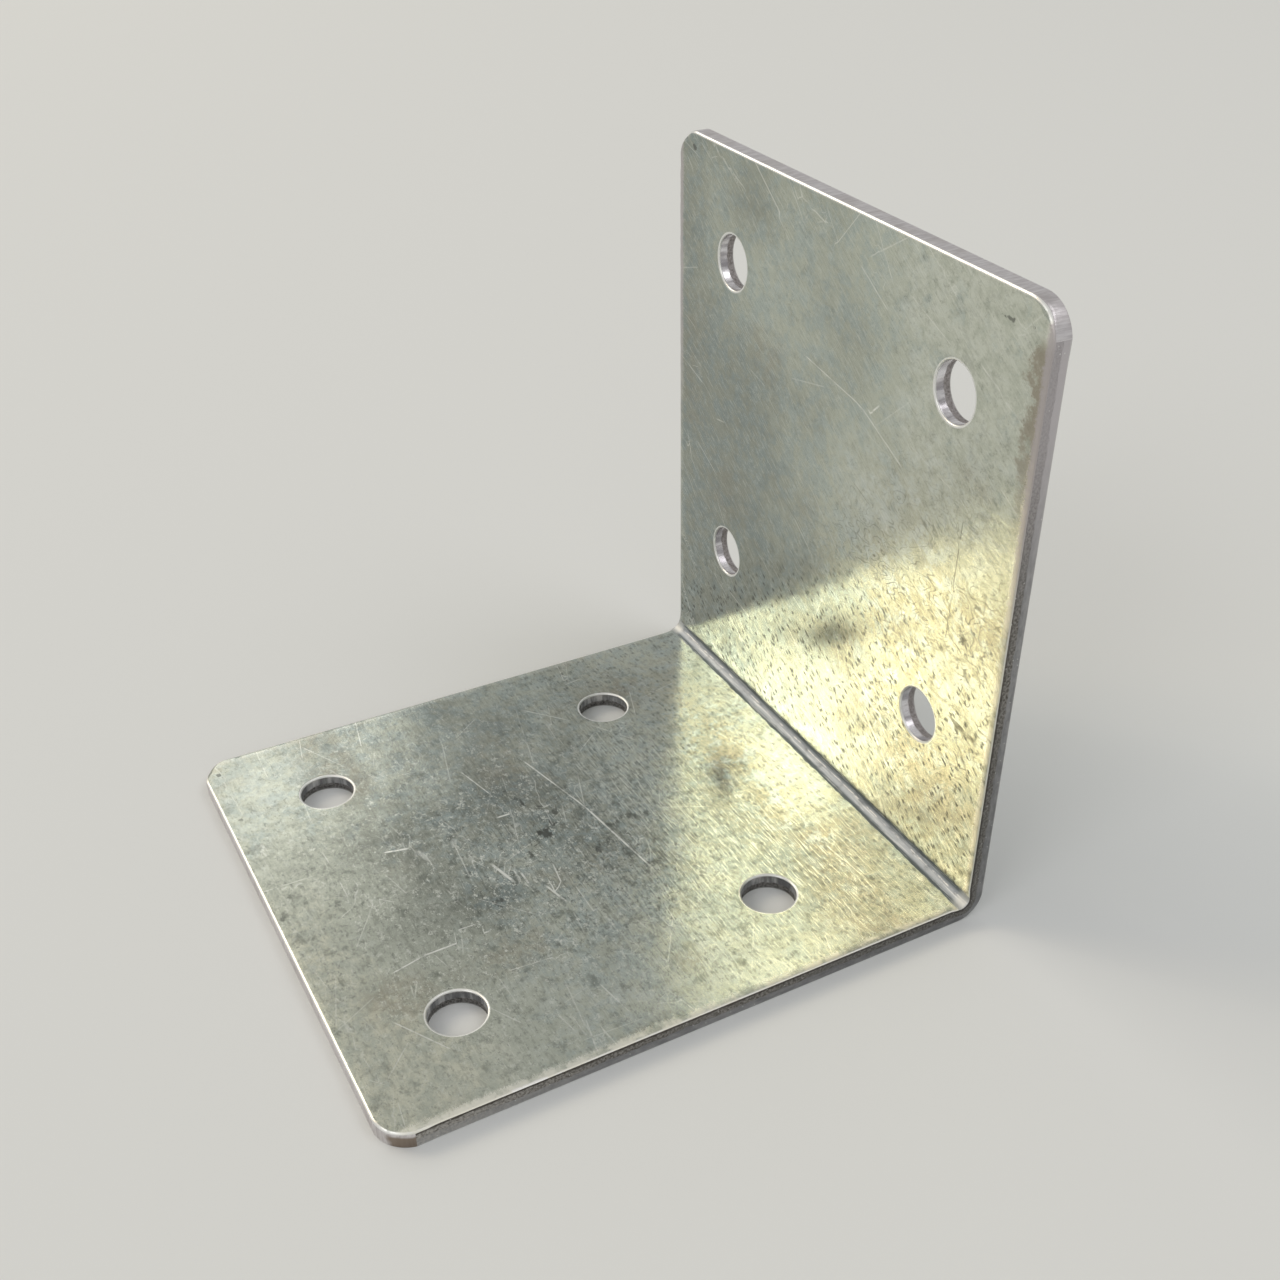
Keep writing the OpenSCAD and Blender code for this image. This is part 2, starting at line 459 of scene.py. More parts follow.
def edge_band(across, along):
    """The band round the strip's outline, as nodes (u, s, w), their inset from the edge, and faces."""
    rim_u, rim_s = loop_round(across, along)
    between_u = (rim_u + np.roll(rim_u, -1)) / 2
    between_s = (rim_s + np.roll(rim_s, -1)) / 2
    u = np.stack([rim_u, between_u], -1).ravel()
    s = np.stack([rim_s, between_s], -1).ravel()
    from_end = np.minimum(s, STRIP_LENGTH - s)
    at_side = np.abs(u) >= across[-1] - NEAR
    side = np.where(at_side, ease((from_end - CORNER_RADIUS) / 2), 0)[:, None]
    past_corner = ease((np.abs(u) - CORNER_U) / 2)
    arc = past_corner * ease((CORNER_RADIUS - 0.5 - from_end) / 2)
    arc = np.maximum(arc, past_corner * ~at_side)[:, None, None]
    end_section = (1 - arc) * end_profile(END_ROLL) + arc * end_profile(CORNER_ROLL)
    section = side[..., None] * side_profile() + (1 - side[..., None]) * end_section
    inset = section[..., 0]
    w = section[..., 1]
    run = np.cumsum(np.hypot(np.diff(u, prepend=u[0]), np.diff(s, prepend=s[0])))[:, None]
    on_wall = ease(1 - inset / 0.05) * ease((w - 0.1) / 0.3)
    broken = ease((w - 1.35 - 0.35 * relief(run, w * 0, 1.3, 1, 5)) / 0.15) * ease((2.9 - w) / 0.1)
    rough = double_relief(run, w, (0.9, 0.45), (0.42, 0.3), 11)
    bite = on_wall * (side * broken * (0.02 + 0.09 * rough) + 0.012 * rough)
    at_lip = side * ease(1 - np.abs(w - STEEL + SIDE_ROLL_DEPTH) / 0.1) * ease(1 - inset / 0.3)
    jagged = double_relief(run, w * 0, (1.1, 1), (0.5, 1), 21)
    bite = bite + at_lip * 0.06 * jagged
    w = w - at_lip * 0.05 * jagged
    place_u, place_s = outline_place(u[:, None], s[:, None], inset + bite)
    swell = ear_swell(fold(place_u, place_s, w)) * ease(1 - inset / SIDE_ROLL_WIDTH)
    margin = ease(1 - inset / SIDE_ROLL_WIDTH) * side * (w > STEEL - SIDE_ROLL_DEPTH - 0.05)
    w = w + margin * swell / EAR_HEIGHT * np.maximum(STEEL - 0.02 - w, 0) * 0.7
    swelled = np.stack([place_u + np.sign(place_u) * swell, place_s, w], -1)
    columns, rows = inset.shape
    quads = strip_quads(columns, rows)
    nodes = swelled.reshape(-1, 3)
    row_of = np.tile(np.arange(rows - 1), columns)
    column_of = np.repeat(np.arange(columns), rows - 1)
    walls = (row_of >= LIP_ROW) & (row_of <= rows - ROWS_PAST_WALL)
    past_kink = at_side & (np.minimum(from_end, np.roll(from_end, -1)) > CORNER_RADIUS - NEAR)
    finish = np.where(walls, np.where(past_kink[column_of], SLIT_WALL, CROPPED_WALL), ZINC_FACE)
    count = len(rim_u)
    rims = []
    triangles = []
    for row, w_face, flip in ((0, STEEL, False), (rows - 1, 0.0, True)):
        here = len(nodes) + len(rims) * count + np.arange(count)
        rims.append(np.stack([rim_u, rim_s, np.full(count, w_face)], -1))
        ahead = np.roll(here, -1)
        start = 2 * np.arange(count) * rows + row
        middle = start + rows
        end = np.roll(start, -1)
        fan = np.concatenate([(here, start, middle), (here, middle, ahead), (ahead, middle, end)], 1).T
        triangles.append(fan[:, ::-1] if flip else fan)
    nodes = np.concatenate([nodes] + rims)
    gap = np.concatenate([inset.ravel(), np.full(2 * count, FRAME_INSET)])
    return nodes, gap, quads, finish, np.concatenate(triangles)


def hole_block(across, along, centre_u, centre_s):
    """A square block with one punched hole through it.

    Columns run from the block's rim in over the inner face to the hole, down its wall, and back out over the
    outer face. Between rim and hole a node moves straight from the square to the circle.
    """
    in_u = across[np.abs(across - centre_u) < BLOCK_HALF + NEAR]
    in_s = along[np.abs(along - centre_s) < BLOCK_HALF + NEAR]
    rim_u, rim_s = loop_round(in_u, in_s)
    count = len(rim_u)
    angle = np.radians(225) + np.arange(count) / count * 2 * math.pi
    share = np.array([0, 0.28, 0.52, 0.72, 0.87, 1.0])
    ring = HOLE_RADIUS + HOLE_ROLL + 0.35
    roll = np.radians(np.linspace(0, 90, 6))
    mouth_radius = HOLE_RADIUS + HOLE_ROLL * (1 - np.sin(roll))
    mouth = np.stack([mouth_radius, STEEL - HOLE_ROLL * (1 - np.cos(roll))], -1)
    depth = np.array([2.5, 2.25, 2.0, 1.75, 1.5, 1.32, 1.16, 1.0, 0.84, 0.66, 0.46, 0.26])
    wall = np.stack([np.full(len(depth), HOLE_RADIUS), depth], -1)
    exit_radius = HOLE_RADIUS + HOLE_BREAKOUT
    exit_edge = [(exit_radius, 0.1), (exit_radius + 0.02, 0.03), (HOLE_RADIUS + 0.16, 0)]
    inner = np.vstack([mouth, wall, exit_edge])
    radius = np.tile(inner[:, 0], (count, 1))
    w = np.tile(inner[:, 1], (count, 1))
    seed = int(centre_s) * 7 + int(centre_u > 0)
    wrap = np.abs(((angle - angle[0]) / math.pi) - 1)[:, None] * math.pi * HOLE_RADIUS
    land_end = STEEL - HOLE_LAND + 0.3 * (relief(wrap, w * 0, 1.6, 1, seed) - 0.5)
    broken = ease((land_end - w) / 0.12) * ease(w / 0.12)
    flare = HOLE_BREAKOUT * np.clip((land_end - w) / land_end, 0, 1)
    rough = double_relief(wrap, w, (0.8, 0.35), (0.4, 0.2), seed + 1)
    on_wall = (w < STEEL - HOLE_ROLL - 0.01) & (w > 0.15)
    radius = np.where(on_wall, HOLE_RADIUS + flare + broken * 0.05 * rough, radius)
    hole_u = centre_u + radius * np.cos(angle)[:, None]
    hole_s = centre_s + radius * np.sin(angle)[:, None]
    ring_u = centre_u + ring * np.cos(angle)
    ring_s = centre_s + ring * np.sin(angle)
    face_u = rim_u[:, None] * (1 - share) + ring_u[:, None] * share
    face_s = rim_s[:, None] * (1 - share) + ring_s[:, None] * share
    u = np.concatenate([face_u, hole_u, face_u[:, ::-1]], 1)
    s = np.concatenate([face_s, hole_s, face_s[:, ::-1]], 1)
    faces = np.ones_like(face_u)
    w = np.concatenate([faces * STEEL, w, faces * 0], 1)
    gap = np.minimum(np.hypot(u - centre_u, s - centre_s) - HOLE_RADIUS, FRAME_INSET)
    rows = u.shape[1]
    quads = strip_quads(count, rows)[:, ::-1]
    row_of = np.tile(np.arange(rows - 1), count)
    first_wall = len(share) + len(roll) - 1
    last_wall = first_wall + len(depth) + 2
    finish = np.where((row_of >= first_wall) & (row_of < last_wall), PUNCHED_WALL, ZINC_FACE)
    return np.stack([u, s, w], -1).reshape(-1, 3), gap.ravel(), quads, finish


def face_grid(across, along, w, outward):
    """The flat grid over one face, without the blocks of the holes."""
    u, s = np.meshgrid(across, along, indexing="ij")
    nodes = np.stack([u, s, np.full_like(u, w)], -1).reshape(-1, 3)
    quads = strip_quads(len(across), len(along), closed=False)
    middle_u = (across[:-1] + across[1:]) / 2
    middle_s = (along[:-1] + along[1:]) / 2
    from_end = np.minimum(middle_s, STRIP_LENGTH - middle_s)
    in_column = np.abs(np.abs(middle_u) - HOLE_U) < BLOCK_HALF
    in_first = np.abs(from_end - HOLE_END_DISTANCE) < BLOCK_HALF
    in_second = np.abs(from_end - HOLE_END_DISTANCE - HOLE_ROW_SPACING) < BLOCK_HALF
    kept = ~(in_column[:, None] & (in_first | in_second)[None, :])
    quads = quads[kept.ravel()]
    quads = quads[:, ::-1] if outward else quads
    return nodes, np.full(len(nodes), FRAME_INSET), quads, np.full(len(quads), ZINC_FACE)


def bow(places):
    """Shift of w: the sheet's slight unevenness, always into the steel, and the shoulders by the bend."""
    u, s, w = places.T
    wave = double_relief(u + PATTERN_SHIFT, s, (31, 23), (15, 12), 41)
    back = patches(u, s, 27, 21, 43)
    keep = ease((HALF_WIDTH - np.abs(u)) / 6) * ease(np.minimum(s, STRIP_LENGTH - s) / 6)
    beside = np.abs(s - BASE_FLAT - BEND_LENGTH / 2) - BEND_LENGTH / 2
    uneven = BOW_DEPTH * keep * ease(beside / 6) * ((1 - w / STEEL) * back - w / STEEL * wave)
    shoulder = SHOULDER_HEIGHT * np.exp(-((np.maximum(beside, 0) / SHOULDER_REACH) ** 2)) * w / STEEL
    return uneven + shoulder


def bell(u, s, centre_u, centre_s, reach_u, reach_s):
    """A soft patch: 1 at its centre, falling off as e to the minus squared distance over its reaches."""
    return np.exp(-(((u - centre_u) / reach_u) ** 2) - (((s - centre_s) / reach_s) ** 2))


def grain_field(u, s, w):
    """Places in the direction of the rolling grain: turned by GRAIN_SLANT on the upright leg."""
    upright = s > BEND_MIDDLE
    angle = np.where(upright, math.radians(GRAIN_SLANT), 0)
    along = u * np.cos(angle) + s * np.sin(angle)
    across = s * np.cos(angle) - u * np.sin(angle)
    return np.stack([along, across + LEG_SHIFT * upright, w * 1.0], -1)


def tone_and_light_field(u, s, w):
    """Slow changes of the zinc, with painted light and shade in them: how light it is, how lively its fine
    pattern is, and how brown.
    """
    light = double_relief(u + PATTERN_SHIFT, s, (26, 20), (11, 9), 61)
    upright = s > BEND_MIDDLE
    high = s - BEND_MIDDLE
    # Painted light and shade: the upright leg lighter towards +X and higher up and darker towards -X; the
    # base leg lighter towards its free end.
    light = light + np.where(upright, ease((u + 35) / 75) * ease((high - 5) / 45) * 0.95, 0)
    near_end = ease((30 - s) / 26) * (0.24 + 0.2 * ease((u + 20) / 50))
    light = light + np.where(upright, -0.09 - 0.25 * ease((-10 - u) / 40), 0.28 + near_end)
    light = light + np.where(upright, 0, 0.25 * ease((u - 25) / 20))
    for strength, *patch in TONE_PATCHES:
        light = light + strength * bell(u, s, *patch)
    # Painted highlight: a lighter band beside each side of the groove, where the shoulders catch the light.
    from_groove = np.abs(s - BEND_MIDDLE) - BEND_LENGTH / 2 - 0.6
    light = light + 0.4 * np.exp(-(((from_groove - 1.2) / 1.3) ** 2)) * patches(u, s, 9, 40, 65)
    lively_upright = 0.2 + 0.45 * ease(1 - high / 50) + 0.15 * ease((u - 10) / 30)
    lively = np.where(upright, lively_upright, 0.42 + 0.6 * bell(u, s, 8, 56, 34, 42))
    lively = lively * (0.7 + 0.6 * patches(u, s, 17, 12, 63))
    brown = ease((patches(u, s, 14, 11, 64) - 0.62) / 0.3) * np.where(upright, 0.45, 0.75)
    brown = np.maximum(brown, np.maximum(bell(u, s, -35, 80, 8, 5), 0.7 * bell(u, s, -22, 50, 12, 6)))
    return np.stack([light, lively, brown + w * 0], -1)


def zone_field(u, s, w):
    """Where light streaks, light specks and fine dark arcs are."""
    upright = s > BEND_MIDDLE
    rolled = 0.15 + 1.0 * bell(u, s, 30, 78, 22, 22) + 0.7 * bell(u, s, -5, 70, 20, 10)
    streaks = np.where(upright, 0.3, rolled)
    specks = np.where(upright, 0.2, 0.2 + 1.0 * bell(u, s, 5, 36, 44, 34))
    arcs = np.where(upright, np.minimum(1.6 * bell(u, s, 34, 140, 26, 24), 1), 0.12)
    return np.stack([streaks, specks, arcs + w * 0], -1)


def soil_and_reflection_field(u, s, w):
    """Where the grain shows as dark streaks, where the zinc is warm, and where it is yellow, which on the
    base leg near the bend is partly painted warm reflection.
    """
    upright = s > BEND_MIDDLE
    high = s - BEND_MIDDLE
    streaks = np.where(upright, 0.12 + 0.3 * ease(1 - high / 60), 0.1 + 0.55 * bell(u, s, -4, 56, 34, 24))
    near = ease((38 - s) / 26) * ease((u + 40) / 50)
    warm = np.where(upright, 0.3 * ease((u - 5) / 30), near)
    yellow = np.where(upright, bell(u, s, 32, 142, 26, 24), 0.8 * bell(u, s, 0, 90, 34, 9))
    return np.stack([streaks, warm, yellow * (0.4 + patches(u, s, 7, 6, 66)) + w * 0], -1)


def chance_scratches(seed, count, spread, middle_u, middle_s, reach_u, reach_s, slants):
    """Fine scratches at seeded places round a middle, mostly near the slants given for the two legs."""
    chance = np.random.default_rng(seed)
    u = np.clip(chance.normal(middle_u, reach_u, count), -46, 46)
    s = np.clip(chance.normal(middle_s, reach_s, count), 3, STRIP_LENGTH - 3)
    slant = np.where(s > BASE_FLAT, slants[1], slants[0]) + chance.normal(0, spread, count)
    angle = np.radians(np.where(chance.random(count) < 0.75, slant, chance.uniform(-90, 90, count)))
    reach = chance.uniform(1.5, 6.5, count)
    width = chance.uniform(0.05, 0.10, count)
    strength = chance.uniform(0.12, 0.42, count)
    far_u = reach * np.cos(angle)
    far_s = reach * np.sin(angle)
    return np.stack([u - far_u, s - far_s, u + far_u, s + far_s, width, strength], -1)


def nearest_field(u, w, reach, marks):
    """The nearest mark's three numbers at each place of the inner face, or 9, 9 and 0 past its reach."""
    nearest = np.full(u.shape, reach)
    field = np.stack([u * 0 + 9, u * 0 + 9, u * 0], -1)
    for distance, *numbers in marks:
        closer = (distance < nearest) & (w > STEEL / 2)
        nearest = np.where(closer, distance, nearest)
        field = np.where(closer[:, None], np.stack(numbers, -1), field)
    return field


def scratch_marks(u, s, scratches):
    """For each scratch: distance, signed distance over its half width, distance past its end, and strength.

    Each is linear beside a scratch, so it stays exact between the nodes of the mesh.
    """
    for start_u, start_s, end_u, end_s, width, strength in scratches:
        half = math.hypot(end_u - start_u, end_s - start_s) / 2
        turn_u = (end_u - start_u) / (2 * half)
        turn_s = (end_s - start_s) / (2 * half)
        off_u = u - (start_u + end_u) / 2
        off_s = s - (start_s + end_s) / 2
        across = off_s * turn_u - off_u * turn_s
        past = np.abs(off_u * turn_u + off_s * turn_s) - half
        yield np.hypot(np.maximum(past, 0), across), across / width, past, u * 0 + strength


def dark_marks(u, s):
    """For each dark mark: share of the way to its limit, offsets over its two reaches, and strength."""
    for centre_u, centre_s, reach_u, reach_s, strength in DARK_MARKS:
        distance = np.hypot(u - centre_u, s - centre_s) / (SCRATCH_REACH + max(reach_u, reach_s))
        yield distance, (u - centre_u) / reach_u, (s - centre_s) / reach_s, u * 0 + strength


def build_strip():
    """Joins the edge band, the hole blocks and the two faces, folds them and makes the mesh."""
    across = lines_across()
    along = lines_along()
    *band, triangles = edge_band(across, along)
    parts = [band, face_grid(across, along, STEEL, True), face_grid(across, along, 0.0, False)]
    rows = [HOLE_END_DISTANCE, HOLE_END_DISTANCE + HOLE_ROW_SPACING]
    for centre_s in rows + [STRIP_LENGTH - row for row in rows]:
        for centre_u in (-HOLE_U, HOLE_U):
            parts.append(hole_block(across, along, centre_u, centre_s))
    all_nodes, all_gaps, all_quads, all_finishes = zip(*parts)
    starts = np.cumsum([0] + [len(nodes) for nodes in all_nodes])
    quads = np.concatenate([quads + start for quads, start in zip(all_quads, starts)])
    nodes = np.concatenate(all_nodes)
    first, merged = np.unique(np.round(nodes, 5), axis=0, return_index=True, return_inverse=True)[1:]
    merged = merged.ravel()
    quads = merged[quads]
    triangles = merged[triangles]
    used, renumbered = np.unique(np.concatenate([quads.ravel(), triangles.ravel()]), return_inverse=True)
    quads = renumbered[:quads.size].reshape(-1, 4)
    triangles = renumbered[quads.size:].reshape(-1, 3)
    nodes = nodes[first[used]]
    gaps = np.concatenate(all_gaps)[first[used]]
    shifted = nodes + np.stack([nodes[:, 0] * 0, nodes[:, 0] * 0, bow(nodes)], -1)
    places = fold(*shifted.T) * MM
    data = bpy.data.meshes.new("pressed_strip")
    data.from_pydata(places, [], quads.tolist() + triangles.tolist())
    finishes = np.concatenate([*all_finishes, np.full(len(triangles), ZINC_FACE)])
    data.polygons.foreach_set("material_index", finishes.astype(np.int32))
    data.polygons.foreach_set("use_smooth", np.ones(len(finishes), bool))
    u, s, w = nodes.T
    scratches = {
        "long_scratch": SCRATCHES,
        "fine_scratch": chance_scratches(11, 190, 15, 0, 100, 45, 75, (0, GRAIN_SLANT)),
        "near_scratch": chance_scratches(12, 110, 20, 8, 42, 26, 24, (10, 0)),
        "scored_line": [*SCORED_LINES, *chance_scratches(13, 60, 16, 30, 142, 13, 13, (0, -14))],
    }
    fields = {
        "strip_place": nodes,
        "grain_place": grain_field(u, s, w),
        "zinc_tone_and_painted_light": tone_and_light_field(u, s, w),
        "wear_zone": zone_field(u, s, w),
        "soil_and_warm_reflection_zone": soil_and_reflection_field(u, s, w),
        "dark_mark": nearest_field(u, w, 1.0, dark_marks(u, s)),
    }
    for name, lines in scratches.items():
        fields[name] = nearest_field(u, w, SCRATCH_REACH, scratch_marks(u, s, lines))
    for name, field in fields.items():
        layer = data.attributes.new(name, "FLOAT_VECTOR", "POINT")
        layer.data.foreach_set("vector", field.astype(np.float32).ravel())
    gap = data.attributes.new("edge_gap", "FLOAT", "POINT")
    gap.data.foreach_set("value", gaps.astype(np.float32))
    data.update()
    return add_object("pressed_strip", data)


# Finishes

class Value:
    """A number, place or colour worked out by nodes. The signs between two values add the node for them."""

    def __init__(self, finish, socket):
        self.finish = finish
        self.socket = socket

    def __add__(self, other):
        return self.finish.math("ADD", self, other)

    def __sub__(self, other):
        return self.finish.math("SUBTRACT", self, other)

    def __rsub__(self, other):
        return self.finish.math("SUBTRACT", other, self)

    def __mul__(self, other):
        return self.finish.math("MULTIPLY", self, other)

    def __abs__(self):
        return self.finish.math("ABSOLUTE", self)

    def greater(self, other):
        """The greater of the two values."""
        return self.finish.math("MAXIMUM", self, other)

    def span(self, low, high, to_low=0.0, to_high=1.0):
        """Carries the value from the range low to high onto another range, eased and held at both ends."""
        inputs = (self, low, high, to_low, to_high)
        return self.finish.outputs("MapRange", inputs, interpolation_type="SMOOTHSTEP")[0]


class Finish:
    """One material, with short calls that add its nodes and wire them."""

    def __init__(self, name):
        self.material = bpy.data.materials.new(name)
        self.material.use_nodes = True
        self.tree = self.material.node_tree
        self.shader = self.tree.nodes["Principled BSDF"]
        self.metal = None

    def wire(self, socket, value):
        """Joins a socket to a value's node, or sets it to a plain number, place or colour."""
        if isinstance(value, Value):
            self.tree.links.new(value.socket, socket)
        else:
            socket.default_value = value

    def node(self, kind, inputs, **settings):
        """Adds a node of that kind with its settings, and wires its first sockets to the inputs."""
        node = self.tree.nodes.new("ShaderNode" + kind)
        for name, setting in settings.items():
            setattr(node, name, setting)
        for socket, value in zip(node.inputs, inputs):
            self.wire(socket, value)
        return node

    def outputs(self, kind, inputs, **settings):
        """Adds a node likewise, and returns all its outputs as values."""
        return [Value(self, socket) for socket in self.node(kind, inputs, **settings).outputs]

    def math(self, operation, *values):
        return self.outputs("Math", values, operation=operation)[0]

    def attribute(self, name, output="Vector"):
        node = self.node("Attribute", [], attribute_name=name)
        return Value(self, node.outputs[output])

    def split(self, vector):
        return self.outputs("SeparateXYZ", [vector])

    def channels(self, tinted):
        """The red, green and blue of a colour, as three values."""
        return self.outputs("SeparateColor", [tinted])[:3]

    def lay(self, vector, size, turn=0.0):
        """Turns places by degrees about w and draws out the pattern on them by size."""
        inputs = (vector, (0, 0, 0), (0, 0, math.radians(turn)), size)
        return self.outputs("Mapping", inputs, vector_type="TEXTURE")[0]

    def shake(self, vector, noise_colour, reach):
        """Shifts places by a noise's colour times reach, which makes round patterns ragged."""
        inputs = (noise_colour, (reach, reach, reach), vector)
        return self.outputs("VectorMath", inputs, operation="MULTIPLY_ADD")[0]

    def noise(self, vector, size, detail=2.0, rough=0.5, output="Fac"):
        """Cloudy noise whose largest forms measure about size."""
        node = self.node("TexNoise", [vector])
        node.inputs["Scale"].default_value = 1 / size
        node.inputs["Detail"].default_value = detail
        node.inputs["Roughness"].default_value = rough
        return Value(self, node.outputs[output])

    def spots(self, vector, size, radius, share):
        """Round spots: one to a cell of that size, kept for the given share of the cells."""
        node = self.node("TexVoronoi", [vector], voronoi_dimensions="2D")
        node.inputs["Scale"].default_value = 1 / size
        near = Value(self, node.outputs["Distance"]).span(radius / size, 0.35 * radius / size)
        chance = self.channels(Value(self, node.outputs["Color"]))[0]
        return near * self.math("LESS_THAN", chance, share)

    def mix(self, share, first, second, kind="RGBA"):
        """The second colour over the first, as far as share says, or two numbers with the kind FLOAT."""
        first_socket, output = {"RGBA": (6, 2), "FLOAT": (2, 0)}[kind]
        node = self.node("Mix", [share], data_type=kind)
        self.wire(node.inputs[first_socket], first)
        self.wire(node.inputs[first_socket + 1], second)
        return Value(self, node.outputs[output])

    def coat(self, share, shade):
        """Lays a colour over the metal so far, as far as share says."""
        self.metal = self.mix(share, self.metal, shade)

    def surface(self, metallic, rough, height):
        """Wires the shader to the metal's colour, its roughness, and a bump from a height in millimetres."""
        self.wire(self.shader.inputs["Base Color"], self.metal)
        self.shader.inputs["Metallic"].default_value = metallic
        self.wire(self.shader.inputs["Roughness"], rough)
        bump = self.node("Bump", [1.0, MM])
        self.wire(bump.inputs["Height"], height)
        self.wire(self.shader.inputs["Normal"], Value(self, bump.outputs[0]))
        return self.material


# Colours of the zinc face
WARM_ZINC = (0.53, 0.56, 0.48, 1)
COOL_ZINC = (0.475, 0.53, 0.49, 1)
DARK_WARM_ZINC = (0.32, 0.34, 0.295, 1)
DARK_COOL_ZINC = (0.28, 0.325, 0.315, 1)
POLISHED_ZINC = (0.76, 0.79, 0.72, 1)
POLISHED_WARM_ZINC = (0.80, 0.79, 0.64, 1)
BROWN_FILM = (0.25, 0.22, 0.165, 1)
BLUE_FILM = (0.36, 0.43, 0.43, 1)
GOLDEN_FILM_AND_WARM_REFLECTION = (0.58, 0.49, 0.30, 1)
DARK_CRYSTAL = (0.14, 0.155, 0.135, 1)
LIGHT_CRYSTAL = (0.66, 0.70, 0.64, 1)
CLEANED_ZINC = (0.72, 0.76, 0.78, 1)
DARK_PEEL = (0.17, 0.18, 0.15, 1)
BRIGHT_GRAIN = (0.84, 0.86, 0.78, 1)
SOOT = (0.15, 0.16, 0.14, 1)
DENT = (0.05, 0.052, 0.04, 1)
FINE_ARC = (0.13, 0.12, 0.085, 1)
LIGHT_SPECK = (0.78, 0.80, 0.73, 1)
DARK_MARK = (0.09, 0.095, 0.085, 1)
SCORED = (0.12, 0.11, 0.08, 1)
SCRATCHED = (0.92, 0.93, 0.87, 1)
# Painted highlight for the rolled rims
PAINTED_RIM_HIGHLIGHT = (0.93, 0.93, 0.92, 1)
RUBBED_MARGIN = (0.84, 0.83, 0.75, 1)
MARGIN_STAIN = (0.31, 0.27, 0.21, 1)
LILAC_MARGIN = (0.50, 0.465, 0.48, 1)
# Bare steel of the nick, also used for the painted highlight in the groove
BARE_STEEL_AND_HIGHLIGHT = (0.95, 0.95, 0.93, 1)
# Painted shade in the sides of the groove
GROOVE_SIDE_SHADE = (0.20, 0.23, 0.25, 1)
GROOVE_MIDDLE = (0.41, 0.44, 0.48, 1)
GROOVE_RUBBED = (0.66, 0.68, 0.70, 1)
GROOVE_DARK = (0.17, 0.18, 0.19, 1)
GROOVE_END = (0.66, 0.67, 0.66, 1)


